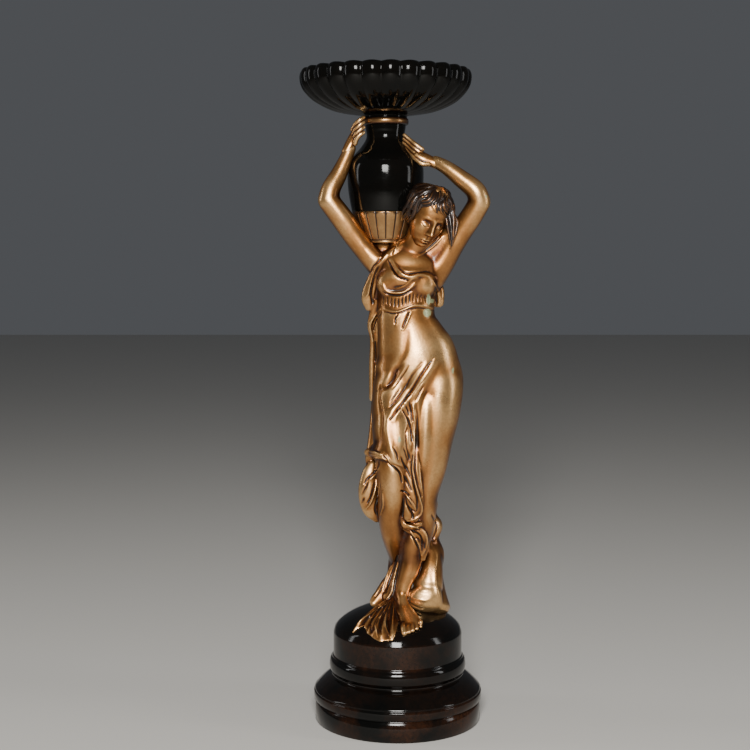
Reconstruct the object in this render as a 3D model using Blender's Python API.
"""A bronze figure of a draped woman who steadies an urn on her shoulder, on a turned black plinth.

The urn is hollow and carries a fluted bowl. Metres, +Z up, and she faces -Y.
The origin is the middle of the plinth's underside.
"""

import math

import bmesh
import bpy
import numpy as np
from mathutils import Matrix, Vector
from mathutils.bvhtree import BVHTree

# Driving dimensions of the whole
FIGURE_HEIGHT = 1.096  # from the plinth's rim to the top of her hair
SEAT_GAP = 0.0003  # between pieces that rest on each other

# Plinth, from the floor up
FOOT_RADIUS = 0.201
FOOT_HEIGHT = 0.047
GROOVE_DEPTH = 0.0025
GROOVE_HEIGHT = 0.005
BAND_RADIUS = 0.2045
BAND_HEIGHT = 0.020
SHOULDER_HEIGHT = 0.038
RING_RADIUS = 0.1665
RING_HEIGHT = 0.058
DRUM_RADIUS = 0.157
DRUM_HEIGHT = 0.047
DRUM_EDGE = 0.006
MOUND_HEIGHT = 0.062
PLINTH_SIDES = 36

# Urn, and where its foot stands on her shoulder
URN_AXIS_SHARE = (-0.02646, 0.04106)  # shares of the figure's height, across and deep
URN_FOOT_SHARE = 0.86131  # how high the urn's foot stands above the plinth's rim, in the same shares
URN_HEIGHT = 0.3096
URN_FOOT_RADIUS = 0.055
URN_BELLY_RADIUS = 0.0956
URN_NECK_RADIUS = 0.0466
URN_LIP_RADIUS = 0.0563
URN_LIP_HEIGHT = 0.0162
URN_WALL = 0.008
URN_SIDES = 40
URN_FLUTES = 20
URN_FLUTE_DEPTH = 0.002
URN_FLUTED_HEIGHT = 0.0777

# Bowl
BOWL_RADIUS = 0.2156
BOWL_HEIGHT = 0.1214
BOWL_FOOT_RADIUS = 0.054
BOWL_FOOT_HEIGHT = 0.008
BOWL_RIM_TURN_IN = 0.010
BOWL_WALL = 0.008
BOWL_LOBES = 27
BOWL_LOBE_DEPTH = 0.009
SIDES_PER_LOBE = 3

# Worked out from those
BAND_BOTTOM = FOOT_HEIGHT + GROOVE_HEIGHT
BAND_TOP = BAND_BOTTOM + BAND_HEIGHT
RING_BOTTOM = BAND_TOP + SHOULDER_HEIGHT
DRUM_BOTTOM = RING_BOTTOM + RING_HEIGHT
PLINTH_RIM = DRUM_BOTTOM + DRUM_HEIGHT
URN_AXIS = (FIGURE_HEIGHT * URN_AXIS_SHARE[0], FIGURE_HEIGHT * URN_AXIS_SHARE[1])
URN_BOTTOM = PLINTH_RIM + FIGURE_HEIGHT * URN_FOOT_SHARE
URN_TOP = URN_BOTTOM + URN_HEIGHT
BOWL_BOTTOM = URN_TOP + SEAT_GAP

# The figure is drawn in thousandths of the height below, so that every place on her is a share of it
DRAWN_HEIGHT = 1096.0
SCALE = FIGURE_HEIGHT / DRAWN_HEIGHT
CLAY_GRAIN = 3.0 * SCALE
FIGURE_TRIANGLES = 3900
HAIR_LOCKS = 17


def clear_scene():
    for old in list(bpy.data.objects):
        bpy.data.objects.remove(old, do_unlink=True)


def finish_of(name, colour, roughness, metallic):
    finish = bpy.data.materials.new(name)
    finish.use_nodes = True
    shader = finish.node_tree.nodes["Principled BSDF"]
    shader.inputs["Base Color"].default_value = (*colour, 1.0)
    shader.inputs["Roughness"].default_value = roughness
    shader.inputs["Metallic"].default_value = metallic
    return finish


def add_object(name, mesh, finish=None):
    made = bpy.data.objects.new(name, mesh)
    bpy.context.scene.collection.objects.link(made)
    if finish:
        mesh.materials.append(finish)
    return made


def skin(name, rings):
    """A closed mesh over rings of points. A ring of one point is a pole, and an open end is capped."""
    shell = bmesh.new()
    loops = [[shell.verts.new(point) for point in ring] for ring in rings]
    for lower, upper in zip(loops, loops[1:]):
        count = max(len(lower), len(upper))
        for i in range(count):
            j = (i + 1) % count
            corners = [lower[i % len(lower)], lower[j % len(lower)],
                       upper[j % len(upper)], upper[i % len(upper)]]
            shell.faces.new(list(dict.fromkeys(corners)))
    for end in (loops[0], loops[-1]):
        if len(end) > 1:
            shell.faces.new(end)
    bmesh.ops.recalc_face_normals(shell, faces=shell.faces)
    mesh = bpy.data.meshes.new(name)
    shell.to_mesh(mesh)
    shell.free()
    return mesh


def circle(radius, height, sides, swell=None):
    """One ring of a turned piece. swell(angle) adds to its radius."""
    if radius == 0:
        return [Vector((0, 0, height))]
    ring = []
    for i in range(sides):
        angle = math.tau * i / sides
        r = radius + (swell(angle) if swell else 0.0)
        ring.append(Vector((r * math.cos(angle), r * math.sin(angle), height)))
    return ring


def curve_through(points, per_span=4):
    """Points along a smooth curve through the given ones, each an array of any length."""
    given = [np.array(p, float) for p in points]
    given = [2 * given[0] - given[1], *given, 2 * given[-1] - given[-2]]
    out = []
    for i in range(1, len(given) - 2):
        before, start, end, after = given[i - 1:i + 3]
        for step in range(per_span):
            t = step / per_span
            out.append(0.5 * (2 * start + (end - before) * t
                              + (2 * before - 5 * start + 4 * end - after) * t ** 2
                              + (3 * start - before - 3 * end + after) * t ** 3))
    out.append(given[-2])
    return out


# The plinth

def plinth_profile(gap=0.0):
    """(radius, height) from the mound's top down the outside. gap swells it, for a cutter."""
    mound = [(DRUM_RADIUS * math.sin(turn), PLINTH_RIM + MOUND_HEIGHT * math.cos(turn))
             for turn in (math.radians(a) for a in (0, 18, 36, 52, 67, 80))]
    drum = [(DRUM_RADIUS - DRUM_EDGE * 0.3, PLINTH_RIM + DRUM_EDGE * 0.6),
            (DRUM_RADIUS, PLINTH_RIM - DRUM_EDGE),
            (DRUM_RADIUS, DRUM_BOTTOM)]
    ring_rise = RING_RADIUS - DRUM_RADIUS
    ring = [(DRUM_RADIUS + ring_rise * out, RING_BOTTOM + RING_HEIGHT * up)
            for out, up in ((0.75, 0.86), (1.0, 0.66), (0.95, 0.42), (0.35, 0.24), (0.25, 0.0))]
    shoulder_reach = BAND_RADIUS - ring[-1][0]
    shoulder = [(ring[-1][0] + shoulder_reach * math.sin(turn), BAND_TOP + SHOULDER_HEIGHT * math.cos(turn))
                for turn in (math.radians(a) for a in (25, 50, 72))]
    foot = [(BAND_RADIUS, BAND_TOP),
            (BAND_RADIUS, BAND_BOTTOM),
            (FOOT_RADIUS - GROOVE_DEPTH, BAND_BOTTOM),
            (FOOT_RADIUS - GROOVE_DEPTH, FOOT_HEIGHT),
            (FOOT_RADIUS, FOOT_HEIGHT),
            (FOOT_RADIUS, 0.0)]
    profile = mound + drum + ring + shoulder + foot
    return [(radius + gap if radius else 0.0, height + gap) for radius, height in profile]


def build_plinth(finish):
    rings = [circle(radius, height, PLINTH_SIDES) for radius, height in plinth_profile()]
    mesh = skin("plinth", rings)
    mesh.shade_smooth()
    mesh.set_sharp_from_angle(angle=math.radians(35))
    return add_object("plinth", mesh, finish)


# The urn

def urn_outside():
    """(radius, height above the urn's foot) up the outside."""
    belly, foot, neck = URN_BELLY_RADIUS, URN_FOOT_RADIUS, URN_NECK_RADIUS
    body = URN_HEIGHT - URN_LIP_HEIGHT
    swell = [(foot * 0.93, 0.0), (foot, 0.02 * body)]
    swell += [(foot + (belly - foot) * out, up * body)
              for out, up in ((0.235, 0.09), (0.49, 0.175), (0.7143, 0.2646), (0.935, 0.43), (1.0, 0.58))]
    neck_line = [(neck + (belly - neck) * out, up * body)
                 for out, up in ((0.94, 0.665), (0.7, 0.735), (0.32, 0.81), (0.04, 0.89), (0.08, 0.97))]
    lip = [(URN_LIP_RADIUS, body), (URN_LIP_RADIUS, URN_HEIGHT)]
    return swell + neck_line + lip


def urn_inside():
    """The hollow, from the mouth down: the outside less the wall."""
    outside = urn_outside()
    wall = [(radius - URN_WALL, height) for radius, height in reversed(outside[4:-3:2])]
    mouth = [(URN_NECK_RADIUS - URN_WALL, URN_HEIGHT)]
    floor = [(URN_FOOT_RADIUS - URN_WALL, URN_WALL), (0.0, URN_WALL)]
    return mouth + wall + floor


def flute_swell(height):
    """The flutes round the urn's lower part, as hollows between narrow ridges."""
    if not 0.03 * URN_HEIGHT < height < URN_FLUTED_HEIGHT * 1.04:
        return None
    return lambda angle: -URN_FLUTE_DEPTH * (1 - abs(math.cos(angle * URN_FLUTES / 2)) ** 0.5)


def build_urn(finish):
    outside = [circle(r, z, URN_SIDES, flute_swell(z)) for r, z in urn_outside()]
    inside = [circle(r, z, URN_SIDES) for r, z in urn_inside()]
    rings = [circle(0.0, 0.0, URN_SIDES), *outside, *inside]
    urn = add_object("urn", skin("urn", rings), finish)
    urn.data.shade_smooth()
    urn.data.set_sharp_from_angle(angle=math.radians(35))
    urn.location = (*URN_AXIS, URN_BOTTOM)
    return urn


# The bowl

def bowl_profile():
    """(radius, height above its foot, how deep its lobes are there) from the foot to the rim."""
    foot, reach = BOWL_FOOT_RADIUS, BOWL_RADIUS - BOWL_FOOT_RADIUS
    body = BOWL_HEIGHT - BOWL_FOOT_HEIGHT
    bell = [(foot + reach * out, BOWL_FOOT_HEIGHT + body * up, lobes)
            for out, up, lobes in ((0.12, 0.01, 0.1), (0.46, 0.1, 0.6), (0.74, 0.28, 0.9),
                                   (0.92, 0.5, 1.0), (1.0, 0.78, 1.0))]
    rim = [(BOWL_RADIUS - BOWL_RIM_TURN_IN, BOWL_HEIGHT, 1.0)]
    return bell + rim


def lobe_swell(share):
    return lambda angle: -BOWL_LOBE_DEPTH * share * (1 - abs(math.sin(angle * BOWL_LOBES / 2)))


def build_bowl(finish):
    sides = BOWL_LOBES * SIDES_PER_LOBE
    outside = [circle(r, z, sides, lobe_swell(share)) for r, z, share in bowl_profile()]
    wall = [(r - BOWL_WALL, z + BOWL_WALL * (1 - z / BOWL_HEIGHT), share)
            for r, z, share in reversed(bowl_profile()[1:])]
    inside = [circle(r, z, sides, lobe_swell(share)) for r, z, share in wall if r > BOWL_FOOT_RADIUS]
    inner_floor = BOWL_FOOT_HEIGHT + BOWL_WALL
    rings = [circle(0.0, 0.0, sides), circle(BOWL_FOOT_RADIUS, 0.0, sides),
             circle(BOWL_FOOT_RADIUS, BOWL_FOOT_HEIGHT * 0.9, sides),
             *outside, *inside, circle(BOWL_FOOT_RADIUS * 0.8, inner_floor, sides),
             circle(0.0, inner_floor, sides)]
    bowl = add_object("bowl", skin("bowl", rings), finish)
    bowl.data.shade_smooth()
    bowl.data.set_sharp_from_angle(angle=math.radians(40))
    bowl.location = (*URN_AXIS, BOWL_BOTTOM)
    return bowl


# Clay: the figure's forms are laid on each other as closed lumps, then fused and smoothed

def at(x, y, z):
    """A place on the figure: thousandths across, deep and above the plinth's rim."""
    return Vector((x * SCALE, y * SCALE, PLINTH_RIM + z * SCALE))


def roll(stations, front=(0, -1, 0), sides=18, place=at, cap=1.0):
    """A rounded lump along a curve. A station is (x, y, z, half its width, half its depth)."""
    given = [(*s, s[3]) if len(s) == 4 else s for s in stations]
    line = curve_through(given)
    centres = [place(*p[:3]) for p in line]
    rings = []
    for i, (centre, station) in enumerate(zip(centres, line)):
        along = (centres[min(i + 1, len(line) - 1)] - centres[max(i - 1, 0)]).normalized()
        across = Vector(front).cross(along).normalized()
        deep = along.cross(across)
        width, depth = station[3] * SCALE, station[4] * SCALE
        ring = [across * width * math.cos(math.tau * s / sides) + deep * depth * math.sin(math.tau * s / sides)
                for s in range(sides)]
        rings.append((centre, along, min(width, depth), ring))
    first, last = rings[0], rings[-1]
    shells = [[first[0] - first[1] * first[2]]]
    shells += [[first[0] - first[1] * first[2] * math.sin(a) + p * math.cos(a) for p in first[3]]
               for a in (math.radians(60), math.radians(30))]
    shells += [[centre + p for p in ring] for centre, _, _, ring in rings]
    shells += [[last[0] + last[1] * last[2] * cap * math.sin(a) + p * math.cos(a) for p in last[3]]
               for a in (math.radians(30), math.radians(60))]
    shells.append([last[0] + last[1] * last[2] * cap])
    return skin("roll", shells)


def ball(centre, radii, turn=None, place=at):
    """A lump that is an ellipsoid, turned by a matrix where one is given."""
    size = Matrix.Diagonal(Vector(radii) * SCALE)
    spun = turn @ size if turn else size
    lump = bmesh.new()
    bmesh.ops.create_uvsphere(lump, u_segments=24, v_segments=14, radius=1.0,
                              matrix=Matrix.Translation(place(*centre)) @ spun.to_4x4())
    mesh = bpy.data.meshes.new("ball")
    lump.to_mesh(mesh)
    lump.free()
    return mesh


def evaluated_mesh(made):
    graph = bpy.context.evaluated_depsgraph_get()
    mesh = bpy.data.meshes.new_from_object(made.evaluated_get(graph))
    bpy.data.objects.remove(made, do_unlink=True)
    return mesh


def fuse(name, lumps, rounds):
    """One skin round all the lumps, smoothed by that many rounds."""
    heap = bmesh.new()
    for lump in lumps:
        heap.from_mesh(lump)
    mesh = bpy.data.meshes.new(name)
    heap.to_mesh(mesh)
    heap.free()
    clay = add_object(name, mesh)
    remesh = clay.modifiers.new("fuse", "REMESH")
    remesh.mode = "VOXEL"
    remesh.voxel_size = CLAY_GRAIN
    smooth = clay.modifiers.new("smooth", "SMOOTH")
    smooth.factor = 0.5
    smooth.iterations = rounds
    return evaluated_mesh(clay)


def body_lumps():
    """Trunk, legs, arms and neck."""
    return [
        roll([(54, 12, 556, 104, 76), (53, 12, 601, 110, 80), (48, 6, 640, 106, 76), (43, 2, 675, 99, 68),
              (32, 0, 712, 86, 60), (22, 0, 752, 73, 54), (21, 2, 785, 70, 53), (22, 4, 820, 71, 56),
              (24, 6, 856, 75, 58), (30, 8, 895, 80, 50), (34, 10, 920, 62, 38)]),
        roll([(98, 8, 600, 64, 70), (95, 0, 540, 60, 68), (83, -10, 470, 54, 60), (74, -20, 400, 46, 50),
              (61, -26, 335, 38, 43), (56, -24, 290, 39, 42), (49, -20, 240, 38, 40), (40, -20, 208, 34, 36),
              (33, -22, 172, 27.5, 31), (27, -26, 147, 26, 28), (17, -28, 123, 21, 24), (10, -30, 98, 18, 21)]),
        roll([(4, 2, 600, 63, 68), (-4, -14, 540, 60, 66), (-9, -34, 470, 52, 56), (-10, -50, 400, 44, 48),
              (-11, -54, 345, 38, 42), (-13, -40, 295, 36, 38), (-8, -14, 240, 34, 38), (4, 18, 180, 28, 33),
              (14, 42, 125, 22, 25), (20, 56, 80, 20, 22)]),
        roll([(50, 0, 660, 46, 44), (52, -12, 605, 52, 50), (51, -24, 545, 55, 50), (50, -32, 460, 50, 46),
              (42, -38, 380, 40, 38), (34, -40, 320, 30, 30)]),
        roll([(52, 34, 570, 84, 44), (44, 30, 470, 78, 38), (32, 28, 370, 64, 34), (22, 30, 270, 46, 30),
              (12, 30, 180, 34, 26), (2, 22, 100, 30, 24)]),
        ball((10, 50, 588), (56, 44, 60)),
        ball((98, 50, 594), (58, 46, 62)),
        ball((-14, -27, 851), (38, 31, 35)),
        ball((59, -30, 852), (37, 31, 35)),
        ball((22, -24, 856), (66, 33, 40)),
        ball((24, -6, 800), (66, 46, 40)),
        roll([(66, 14, 900, 36), (102, 10, 936, 34), (134, 0, 966, 28)]),
        roll([(26, 12, 892, 44), (34, 8, 918, 36), (48, 0, 945, 34), (62, -8, 970, 36)]),
        roll([(-8, 14, 868, 44), (-46, 12, 893, 33), (-78, 10, 926, 28), (-106, 8, 962, 28),
              (-134, 4, 1002, 28.5), (-170, 0, 1050, 27)]),
        roll([(80, 10, 862, 40), (108, 6, 898, 34), (132, 0, 936, 30), (156, -8, 974, 28.5),
              (180, -18, 1010, 28), (200, -28, 1044, 27)]),
        roll([(-170, 0, 1050, 26.5), (-163, 4, 1078, 24.5), (-145, 12, 1112, 21.5), (-128, 18, 1150, 17.5),
              (-116, 22, 1180, 15.5, 14)]),
        roll([(201, -28, 1044, 27), (189, -30, 1072, 25.5), (156, -24, 1100, 22.5), (120, -16, 1128, 18.5),
              (92, -6, 1144, 16, 15)]),
    ]


def hand_lumps():
    """Both hands lie on the urn: each is a palm, four fingers and a thumb."""
    lumps = [
        roll([(-125, 20, 1168, 14, 13), (-118, 22, 1186, 14.5, 12), (-108, 22, 1206, 15, 11),
              (-99, 22, 1222, 13, 10)], front=(-0.9, -0.5, 0)),
        roll([(-106, 12, 1192, 7), (-98, 12, 1206, 6.5), (-89, 14, 1222, 5.5)], sides=10),
        roll([(100, -8, 1137, 14, 13), (82, -8, 1144, 14.5, 12), (64, -8, 1153, 16, 11), (50, -4, 1163, 16, 9)],
             front=(0.6, -0.7, 0.4)),
        roll([(76, -16, 1138, 7), (60, -18, 1138, 6.5), (44, -12, 1150, 5.8), (32, -4, 1160, 4.5)], sides=10),
    ]
    for i in range(4):
        down, low = 11.5 * i, 9.5 * i
        lumps.append(roll([(-110 + 2 * i, 20 - 3 * i, 1224 - down, 6.3), (-103 + i, 12 - 2 * i, 1236 - down, 6.2),
                           (-93 + i, 8 - i, 1246 - down, 5.8), (-83, 10 - i, 1254 - 1.1 * down, 4.6)], sides=10))
        lumps.append(roll([(60 - 2 * i, -4 - 3 * i, 1174 - low, 6.2), (46 - 2 * i, -3 - 2 * i, 1184 - low, 6.2),
                           (32 - i, 4 - i, 1196 - low, 5.6), (17 - i, 10, 1210 - low, 4.6)], sides=10))
    return lumps


def foot_lumps():
    """Her left foot hangs down the mound's slope. The right one is under the cloth."""
    lumps = [
        roll([(5, -16, 84, 17, 17), (6, -30, 84, 18, 19), (11, -52, 68, 20, 17), (23, -84, 51, 25, 14),
              (33, -108, 38, 27, 10)], front=(0, -0.5, 0.8)),
        ball((-8, -28, 102), (8, 9, 9)),
        ball((25, -30, 106), (8, 9, 9)),
    ]
    for i in range(5):
        size = 8.5 if i == 0 else 6.4 - 0.4 * i
        across = 12 + 9.5 * i + (0 if i == 0 else 1.5)
        reach = 138 - 1.3 * i ** 2
        height = 24 + 2.6 * i
        lumps.append(roll([(across + 2, -100 - i, 40 + 1.5 * i, size + 1),
                           (across + 1, -reach + 12, height + 10, size),
                           (across + 2, -reach, height, size * 0.85)], sides=10))
    return lumps


def mound_height(x, y):
    """How high the plinth's mound stands above its rim there, all in the figure's own thousandths."""
    share = ((x * x + y * y) * SCALE ** 2) / DRUM_RADIUS ** 2
    return MOUND_HEIGHT / SCALE * math.sqrt(max(0.0, 1 - share))


def fan():
    """The train's end, spread over the mound from behind her heel in folds with three tongues."""
    source = (-6, -18)
    bearing = (210, 216, 219, 222, 226, 235, 245, 254, 258, 261, 264, 267, 270, 274)
    reach = (72, 122, 136, 122, 112, 124, 132, 137, 132, 125, 133, 135, 124, 92)
    folds = (214, 219.5, 229, 238, 246, 254, 266)
    rows, columns = 12, 60
    over, under = [], []
    for row in range(rows):
        t = row / (rows - 1)
        upper, lower = [], []
        for column in range(columns):
            a = 210 + 64 * column / (columns - 1) + 2.5 * math.sin(7 * t) * (1 - t)
            far = t * np.interp(a, bearing, reach)
            x, y = source[0] + far * math.cos(math.radians(a)), source[1] + far * math.sin(math.radians(a))
            crest = max(math.exp(-((a - fold) / 2.4) ** 2) for fold in folds)
            edge = min(1.0, 8 * min(column, columns - 1 - column) / columns)
            rise = (3.5 + 6.5 * crest + 20 * (1 - t) ** 2) * edge * math.sqrt(max(0.0, 1.03 - t ** 8))
            upper.append(at(x, y, mound_height(x, y) + rise))
            lower.append(at(x * 0.97, y * 0.97, mound_height(x, y) - 8))
        over.append(upper)
        under.append(lower)
    return skin("fan", [up + down[::-1] for up, down in zip(over, under)])


def cloth_lumps():
    """What hangs free of her: the veil, the cascade between her knees and the train on the mound."""
    return [
        ball((-28, 40, 926), (50, 44, 26)),
        roll([(-34, 10, 880, 26, 20), (-46, 16, 830, 23, 18), (-44, 22, 780, 18, 14)]),
        roll([(26, -6, 946, 9, 8), (-6, -16, 918, 16, 12), (-36, -12, 886, 20, 12), (-58, 2, 850, 18, 12),
              (-72, 8, 812, 17, 11), (-68, 14, 786, 12, 9)]),
        roll([(-50, 10, 800, 14, 10), (-62, 18, 764, 9, 8), (-67, 22, 738, 7, 7), (-62, 26, 705, 6, 6),
              (-63, 30, 640, 7, 7), (-62, 34, 560, 8, 8)]),
        roll([(-34, 40, 850, 26, 10), (-42, 42, 760, 22, 10), (-41, 48, 660, 22, 12), (-42, 44, 560, 22, 12),
              (-46, 30, 480, 24, 14), (-54, 10, 420, 24, 14)]),
        roll([(-50, -16, 440, 18, 12), (-64, -14, 424, 15, 11), (-66, -12, 400, 11, 9)]),
        roll([(-62, -20, 405, 12, 9), (-68, -26, 380, 20, 12), (-70, -28, 340, 26, 14), (-61, -26, 300, 26, 13),
              (-46, -22, 274, 15, 9)]),
        roll([(-48, -30, 392, 7, 6), (-40, -30, 340, 8, 7), (-36, -28, 300, 9, 8), (-42, -26, 276, 7, 6)]),
        roll([(0, 0, 620, 38, 42), (-4, -14, 560, 51, 57), (-7, -29, 505, 54, 60), (-5, -40, 456, 54, 59),
              (-20, -48, 414, 53, 56)], cap=0.1),
        roll([(-30, -62, 440, 26, 14), (-54, -46, 438, 18, 11), (-78, -30, 435, 7, 6)], cap=0.3),
        roll([(90, 24, 858, 14, 12), (98, 24, 825, 18, 12), (99, 24, 795, 16, 10)]),
        roll([(30, -48, 580, 14, 10), (26, -62, 530, 20, 12), (26, -70, 460, 25, 13), (34, -76, 370, 25, 15),
              (36, -76, 320, 26, 15), (32, -72, 285, 20, 12)]),
        roll([(10, -66, 300, 6, 6), (14, -66, 268, 7, 6), (32, -68, 262, 9, 7), (52, -64, 268, 8, 7)]),
        roll([(16, -58, 258, 7, 6), (34, -62, 250, 10, 7), (56, -60, 240, 12, 8), (68, -52, 215, 9, 7),
              (62, -48, 180, 5, 5)]),
        roll([(50, -56, 232, 8, 6), (60, -54, 205, 7, 6), (58, -48, 178, 4, 4)]),
        roll([(12, 14, 215, 20, 14), (6, 8, 170, 18, 15), (-4, 4, 130, 20, 16), (-18, 0, 100, 26, 18),
              (-40, -14, 76, 22, 14), (-58, -26, 66, 10, 9)]),
        roll([(6, -8, 172, 7, 8), (-2, -10, 140, 9, 9), (-10, -14, 108, 12, 12), (-22, -26, 80, 16, 13)]),
        roll([(-34, -4, 96, 12, 9), (-54, -18, 80, 9, 7), (-63, -26, 70, 6, 5)]),
        roll([(-12, -36, 78, 9, 7), (-4, -62, 66, 7, 6), (2, -84, 56, 4, 4)]),
        fan(),
        roll([(80, 44, 325, 13, 18), (84, 44, 300, 16, 20), (86, 42, 268, 13, 18)]),
        roll([(90, 40, 262, 16, 22), (92, 40, 240, 21, 26), (86, 38, 216, 14, 24)]),
        roll([(82, 38, 205, 19, 26), (88, 36, 175, 27, 34), (84, 34, 145, 27, 38), (82, 28, 112, 26, 38),
              (82, 18, 84, 34, 44), (84, 6, 54, 46, 52)]),
        roll([(34, -10, 76, 20, 26), (52, -20, 80, 30, 30), (74, -24, 82, 36, 32), (92, -14, 80, 34, 34)], cap=0.4),
        roll([(62, 20, 178, 22, 20), (58, 10, 140, 24, 22), (60, 4, 108, 24, 22)]),
    ]


# Her head has its own frame: thousandths from its middle, the face towards -Y. It bows and leans to her left.

HEAD_AT = (70, -24, 1008)
HEAD_TURN = (Matrix.Rotation(math.radians(15), 3, "Y") @ Matrix.Rotation(math.radians(24), 3, "Z")
             @ Matrix.Rotation(math.radians(22), 3, "X"))


def on_head(x, y, z):
    return at(*HEAD_AT) + HEAD_TURN @ (Vector((x, y, z)) * SCALE)


def head_ball(centre, radii):
    return ball(centre, radii, HEAD_TURN, on_head)


def head_roll(stations, front=(0, -1, 0), sides=10):
    return roll(stations, HEAD_TURN @ Vector(front), sides, on_head)


def head_form():
    """The head's large forms."""
    lumps = [
        head_ball((0, 10, 22), (50, 60, 53)),
        head_ball((0, -18, 22), (42, 38, 38)),
        head_ball((0, -18, -12), (42, 38, 46)),
        head_ball((0, -20, -44), (32, 32, 28)),
        head_ball((0, -40, -60), (16, 15, 14)),
        head_ball((0, -38, -34), (24, 19, 20)),
    ]
    for s in (-1, 1):
        lumps.append(head_ball((s * 20, -28, -18), (20, 22, 24)))
    return lumps


def features():
    """Nose, mouth, brows and lowered lids, in large simple forms."""
    lumps = [
        head_roll([(0, -48, 12, 6, 7), (0, -55, 0, 6.5, 8), (0, -62, -18, 8, 9)]),
        head_roll([(-13, -50, -43, 4, 4), (0, -56, -43, 6, 5), (13, -50, -43, 4, 4)], front=(0, 0, 1)),
    ]
    for s in (-1, 1):
        lumps.append(head_ball((s * 19.5, -41, 0), (12, 11, 9)))
        lumps.append(head_roll([(s * 8, -47, 12, 4, 4), (s * 20, -47, 15, 4, 4), (s * 33, -37, 10, 4, 4)],
                               front=(0, 0, 1)))
    return lumps


def cap_point(around, down, out=0.0):
    """A point over the hair's cap: degrees around from the face, and down from the crown, then straight down."""
    a, d = math.radians(around), math.radians(min(down, 90))
    drop = max(0.0, down - 90)
    r = math.sin(d) * (1 - 0.0018 * drop)
    return (math.sin(a) * r * (51 + out), 10 - math.cos(a) * r * (60 + out), 24 + math.cos(d) * (54 + out) - drop)


def lock(around, end, size, wave):
    """A wavy tapered strand from the crown down the cap."""
    stations = []
    for i in range(7):
        t = i / 6
        swing = wave * t ** 0.5 * math.sin(math.tau * (0.9 * t + around / 190))
        girth = size * (0.6 + 0.5 * math.sin(math.pi * (0.12 + 0.76 * t))) * (1 - 0.4 * t ** 5)
        stations.append((*cap_point(around * (0.6 + 0.4 * t ** 0.7) + swing, 10 + (end - 10) * t, 2.0), girth, girth))
    return head_roll(stations, front=(0.05, -0.2, 1))


def hair_lumps():
    """A bob of separate wavy locks, and the long pointed ones at her left."""
    lumps = [head_ball((0, 10, 24), (48, 57, 51)), head_ball((0, 24, -8), (45, 43, 39))]
    for i in range(HAIR_LOCKS):
        around = -180 + 360 * (i + 0.5) / HAIR_LOCKS
        end = 84 if math.cos(math.radians(around)) > 0.42 else 136
        lumps.append(lock(around, end + 5 * math.sin(2.1 * i), 8.5, 6))
    return lumps + [
        roll([(112, -48, 1050, 10, 10), (121, -52, 1030, 10, 9), (126, -57, 1000, 9.5, 8), (129, -58, 968, 8.5, 7),
              (127.5, -58, 940, 5, 5), (127, -57, 927, 2.5, 2.5)], sides=12),
        roll([(120, -42, 1040, 8, 8), (130, -48, 1008, 7, 7), (134, -52, 975, 5.5, 6), (131, -55, 950, 3, 3)],
             sides=12),
    ]


# Folds are cut or raised along lines drawn on her from a viewing point in front, or one behind

FOLDS = [
    # (width, depth: raised if positive, (x, z) places that the line runs through)
    # the cowl and the bust
    (6, 7, [(-16, 905), (-4, 886), (11, 868), (31, 861), (55, 866), (75, 863)]),
    (5, -6, [(-23, 900), (-13, 881), (1, 860), (23, 850)]),
    (6, 6, [(-38, 846), (-28, 829), (-11, 823), (11, 823), (28, 832), (43, 844)]),
    (5, -5, [(-36, 820), (-21, 812), (6, 811), (33, 822)]),
    (5, 5, [(-33, 782), (-1, 776), (16, 781), (36, 790), (58, 792), (90, 785)]),
    (4, -6, [(28, 775), (22, 760), (17, 748), (12, 736)]),
    # the veil at her right side
    (5, -8, [(-48, 888), (-58, 866), (-63, 844), (-65, 822), (-60, 797)]),
    (5, 5, [(-26, 917), (-38, 900), (-53, 883), (-60, 863), (-66, 841), (-71, 822)]),
    # the pull of the dress across the hip
    (7, -9, [(84, 655), (72, 638), (60, 623), (48, 606), (35, 586), (23, 567), (9, 547), (-6, 527), (-18, 513)]),
    (6, -8, [(40, 630), (31, 613), (21, 594), (9, 576), (-4, 559), (-19, 541)]),
    (7, -8, [(-6, 630), (-12, 613), (-21, 598), (-38, 584)]),
    (6, 6, [(67, 643), (48, 616), (28, 584), (14, 563), (-4, 545)]),
    (7, 6, [(87, 643), (70, 621), (53, 596), (36, 574), (16, 547), (-6, 520)]),
    (14, -8, [(90, 618), (72, 584), (60, 547), (55, 498), (53, 449), (50, 400), (53, 363)]),
    (10, 5, [(-16, 530), (-28, 498), (-21, 456), (-9, 422), (1, 397)]),
    # the cascade between her legs
    (5, -8, [(9, 540), (21, 522), (29, 503), (34, 481), (36, 459)]),
    (5, -7, [(8, 419), (16, 402), (24, 385), (33, 368)]),
    (5, 6, [(36, 387), (41, 363), (48, 338), (55, 314), (59, 294), (54, 277), (38, 266), (18, 262)]),
    (5, -8, [(-38, 427), (-28, 414), (-16, 401), (-4, 391), (6, 378), (11, 358)]),
    (5, -8, [(18, 321), (21, 304), (31, 292), (43, 284)]),
    (5, 6, [(16, 257), (31, 250), (50, 246), (65, 235), (72, 216), (69, 196), (60, 177)]),
    # the hanging end of the veil
    (5, -7, [(-48, 392), (-60, 378), (-75, 365), (-82, 353)]),
    (5, -6, [(-56, 355), (-62, 338), (-67, 319), (-74, 307)]),
    # the train
    (5, 6, [(5, 174), (-2, 147), (-9, 118), (-15, 88), (-28, 69), (-43, 56)]),
    (5, -7, [(0, 177), (-11, 147), (-20, 118), (-28, 88)]),
]


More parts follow.
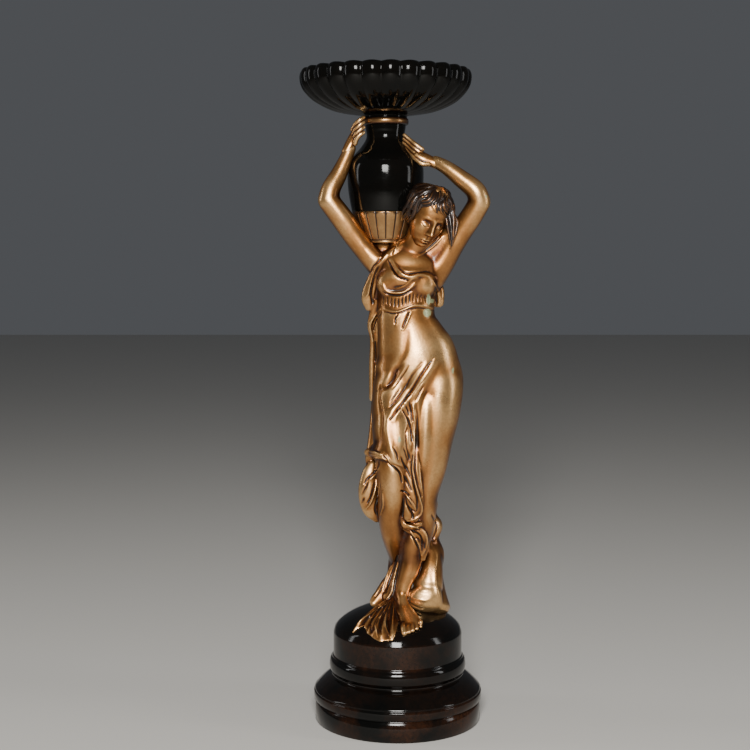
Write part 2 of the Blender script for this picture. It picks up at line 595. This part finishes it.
def folds_behind():
    """Plainer hanging folds down the back of her dress."""
    heights = (850, 750, 640, 560, 470, 380, 270, 150)
    middle, half = (24, 22, 48, 54, 45, 34, 25, 15), (60, 56, 84, 88, 70, 58, 44, 30)
    strokes = []
    for i in range(9):
        top, share = 800 - 26 * (i % 3), -0.8 + 0.2 * i
        line = [(np.interp(-z, [-h for h in heights], middle) + share * np.interp(-z, [-h for h in heights], half),
                 z) for z in range(top, 150, -90)]
        strokes.append((10 if i % 2 else 8, 7 if i % 2 else -9, line))
    return strokes


FRONT_EYE = Vector((-0.05 * FIGURE_HEIGHT, -3.25 * FIGURE_HEIGHT, PLINTH_RIM + 0.86 * FIGURE_HEIGHT))
BACK_EYE = Vector((0.05 * FIGURE_HEIGHT, 3.25 * FIGURE_HEIGHT, PLINTH_RIM + 0.6 * FIGURE_HEIGHT))


def draw_folds(mesh, strokes, eye):
    tree = BVHTree.FromPolygons([v.co for v in mesh.vertices], [p.vertices for p in mesh.polygons])
    count = len(mesh.vertices)
    places = np.empty(count * 3)
    normals = np.empty(count * 3)
    mesh.vertices.foreach_get("co", places)
    mesh.vertex_normals.foreach_get("vector", normals)
    places, normals = places.reshape(-1, 3), normals.reshape(-1, 3)
    lift = np.zeros(count)
    for width, depth, line in strokes:
        hits = []
        for x, z in curve_through(line, 6):
            hit = tree.ray_cast(eye, (at(x, 0, z) - eye).normalized())[0]
            if hit:
                hits.append(np.array(hit))
        ends = list(zip(hits, hits[1:]))
        near = np.full(count, np.inf)
        share = np.zeros(count)
        for i, (a, b) in enumerate(ends):
            step = b - a
            t = np.clip((places - a) @ step / max(step @ step, 1e-12), 0, 1)
            far = np.linalg.norm(places - a - t[:, None] * step, axis=1)
            closer = far < near
            near[closer] = far[closer]
            share[closer] = (i + t[closer]) / len(ends)
        fade = np.sin(np.pi * np.clip(0.08 + 0.84 * share, 0, 1)) ** 0.6
        lift += depth * SCALE * fade * np.exp(-(near / (width * SCALE)) ** 2)
    mesh.vertices.foreach_set("co", (places + normals * lift[:, None]).ravel())
    mesh.update()


def cutter(name, profile, sides, middle, bottom):
    """A turned solid that cuts a seat. Its profile is (radius, height), top to bottom."""
    rings = [circle(radius, height, sides) for radius, height in profile]
    made = add_object(name, skin(name, rings))
    made.location = (*middle, bottom)
    made.hide_render = True
    made.display_type = "WIRE"
    return made


def keep_largest(mesh):
    """Removes the crumbs that a cut leaves."""
    shell = bmesh.new()
    shell.from_mesh(mesh)
    left = set(shell.verts)
    islands = []
    while left:
        reached = [left.pop()]
        for vert in reached:
            for edge in vert.link_edges:
                other = edge.other_vert(vert)
                if other in left:
                    left.remove(other)
                    reached.append(other)
        islands.append(reached)
    islands.sort(key=len)
    crumbs = [vert for island in islands[:-1] for vert in island]
    bmesh.ops.delete(shell, geom=crumbs, context="VERTS")
    shell.to_mesh(mesh)
    shell.free()


def build_woman(finish):
    body = fuse("body", body_lumps(), 14)
    head = fuse("head", head_form(), 8)
    details = hand_lumps() + foot_lumps() + cloth_lumps() + features() + hair_lumps()
    whole = fuse("whole", [body, head, *details], 3)
    draw_folds(whole, FOLDS, FRONT_EYE)
    draw_folds(whole, folds_behind(), BACK_EYE)
    whole = fuse("whole", [whole], 1)  # once more, so that no deep fold crosses itself
    woman = add_object("woman", whole)
    thin = woman.modifiers.new("thin", "DECIMATE")
    thin.ratio = min(1.0, FIGURE_TRIANGLES / (2 * len(whole.polygons)))
    woman = add_object("woman", evaluated_mesh(woman), finish)
    keep_largest(woman.data)
    urn_shape = [(r + SEAT_GAP, z) for r, z in reversed(urn_outside())]
    bowl_shape = [(r + SEAT_GAP, z - SEAT_GAP) for r, z, _ in reversed(bowl_profile())]
    seats = [
        cutter("plinth_seat", plinth_profile(SEAT_GAP), PLINTH_SIDES, (0, 0), 0.0),
        cutter("urn_seat", [(0.0, URN_HEIGHT + SEAT_GAP), (urn_shape[0][0], URN_HEIGHT + SEAT_GAP), *urn_shape,
                            (urn_shape[-1][0], -SEAT_GAP)], URN_SIDES, URN_AXIS, URN_BOTTOM),
        cutter("bowl_seat", [(0.0, BOWL_HEIGHT), *bowl_shape, (bowl_shape[-1][0], -2 * SEAT_GAP)],
               BOWL_LOBES, URN_AXIS, BOWL_BOTTOM),
    ]
    for seat in seats:
        cut = woman.modifiers.new(seat.name, "BOOLEAN")
        cut.operation = "DIFFERENCE"
        cut.solver = "MANIFOLD"
        cut.object = seat
    bpy.context.view_layer.update()
    cut_mesh = bpy.data.meshes.new_from_object(woman.evaluated_get(bpy.context.evaluated_depsgraph_get()))
    woman.modifiers.clear()
    woman.data = cut_mesh
    keep_largest(woman.data)
    woman.data.shade_smooth()
    woman.data.name = "woman"
    return woman


def main():
    clear_scene()
    bronze = finish_of("gold_bronze", (0.55, 0.30, 0.11), 0.28, 1.0)
    black = finish_of("black_lacquer", (0.012, 0.012, 0.011), 0.12, 0.0)
    build_plinth(black)
    build_urn(black)
    build_bowl(black)
    build_woman(bronze)


main()
